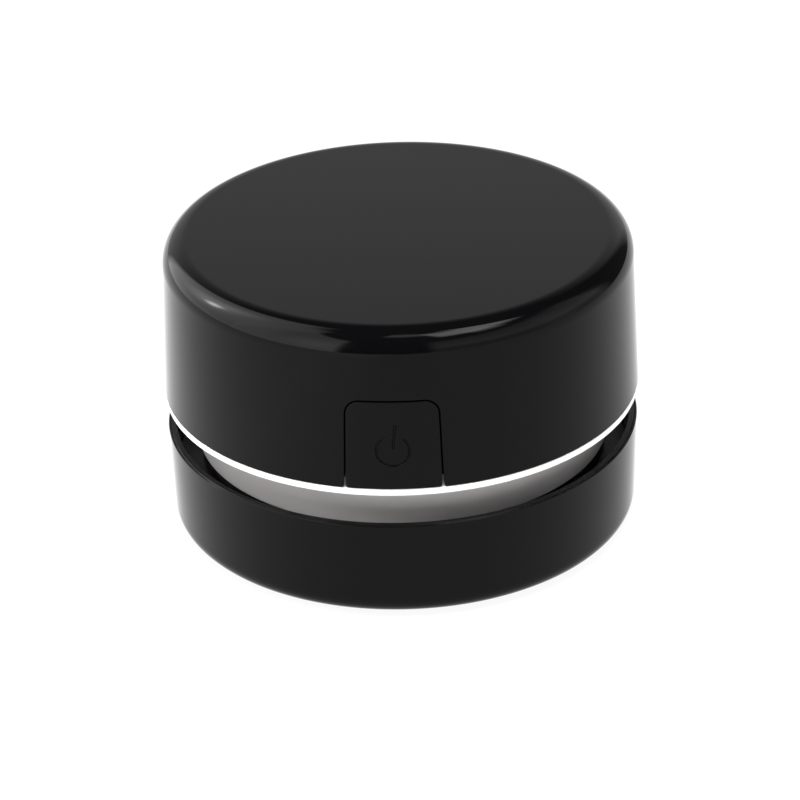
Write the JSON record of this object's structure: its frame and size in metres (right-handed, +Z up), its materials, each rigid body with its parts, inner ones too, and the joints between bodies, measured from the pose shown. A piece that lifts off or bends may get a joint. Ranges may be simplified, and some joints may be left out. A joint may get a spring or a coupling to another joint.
{
  "type": "desktop mini vacuum cleaner",
  "caption": "Round battery desk vacuum: black cover with a push key, white flange, open exhaust gap with grey neck, black dust cup with brush and suction mouth below.",
  "frame": {"origin": "on the desk surface, in the middle under the round body", "axes": "+Z up along the body's axis; -Y is the front, where the power key is; +X to the right seen from the front"},
  "size_m": [0.085, 0.085, 0.0549],
  "materials": {
    "cover_black": "gloss",
    "key_black": "gloss",
    "cup_black": "gloss",
    "rim_black": "gloss",
    "chassis_white": "satin",
    "neck_grey": "satin",
    "foot_rubber": "matte",
    "inner_black": "satin",
    "brush_backing": "matte",
    "bristle_nylon": "matte",
    "seal_rubber": "matte",
    "filter_felt": "matte",
    "fan_plastic": "satin",
    "can_steel": "satin",
    "cap_nylon": "satin",
    "magnet_ferrite": "matte",
    "carbon": "matte",
    "terminal_brass": "satin",
    "bush_bronze": "satin",
    "strap_steel": "satin",
    "screw_steel": "polished",
    "shaft_steel": "polished",
    "core_steel": "satin",
    "winding_copper": "gloss",
    "commutator_copper": "satin",
    "cell_wrap": "gloss",
    "contact_nickel": "satin",
    "board_green": "satin",
    "switch_black": "satin",
    "plunger_white": "satin",
    "lead_red": "satin",
    "lead_black": "satin"
  },
  "bodies": {
    "dust_base": {"dust_cup": "cup_black", "rim_ring": "rim_black", "glide_feet": "foot_rubber", "nozzle": "inner_black", "brush_base": "brush_backing", "brush_bristles": "bristle_nylon", "collar_ring": "inner_black", "seal_ring": "seal_rubber"},
    "power_head": {"neck_ring": "neck_grey", "fan_base": "inner_black", "filter_frame": "inner_black", "filter_screen": "filter_felt", "chassis": "chassis_white", "deck_screws": "screw_steel", "motor_can": "can_steel", "motor_end_cap": "cap_nylon", "motor_magnets": "magnet_ferrite", "carbon_brushes": "carbon", "motor_terminals": "terminal_brass", "lower_bush": "bush_bronze", "upper_bush": "bush_bronze", "motor_strap": "strap_steel", "strap_screws": "screw_steel", "front_cell": "cell_wrap", "rear_cell": "cell_wrap", "bridge_contact": "contact_nickel", "end_contacts": "contact_nickel", "front_cell_spring": "contact_nickel", "rear_cell_spring": "contact_nickel", "circuit_board": "board_green", "push_switch": "switch_black", "supply_lead": "lead_red", "switched_lead": "lead_red", "return_lead": "lead_black"},
    "top_cover": {"top_cover": "cover_black"},
    "power_key": {"power_key": "key_black", "switch_plunger": "plunger_white"},
    "rotor": {"rotor_shaft": "shaft_steel", "armature_core": "core_steel", "armature_windings": "winding_copper", "commutator": "commutator_copper", "impeller": "fan_plastic"}
  },
  "joints": [
    {"name": "head_lift", "type": "slide", "parent": "dust_base", "child": "power_head", "axis": [0, 0, 1], "range_m": [0, 0.04]},
    {"name": "cover_lift", "type": "slide", "parent": "power_head", "child": "top_cover", "axis": [0, 0, 1], "range_m": [0, 0.036]},
    {"name": "key_press", "type": "slide", "parent": "power_head", "child": "power_key", "axis": [0, 1, 0], "range_m": [0, 0.0012], "stiffness_N_per_m": 1000},
    {"name": "rotor_spin", "type": "hinge", "parent": "power_head", "child": "rotor", "pos_m": [0, 0, 0.035], "axis": [0, 0, 1], "continuous": true}
  ]
}
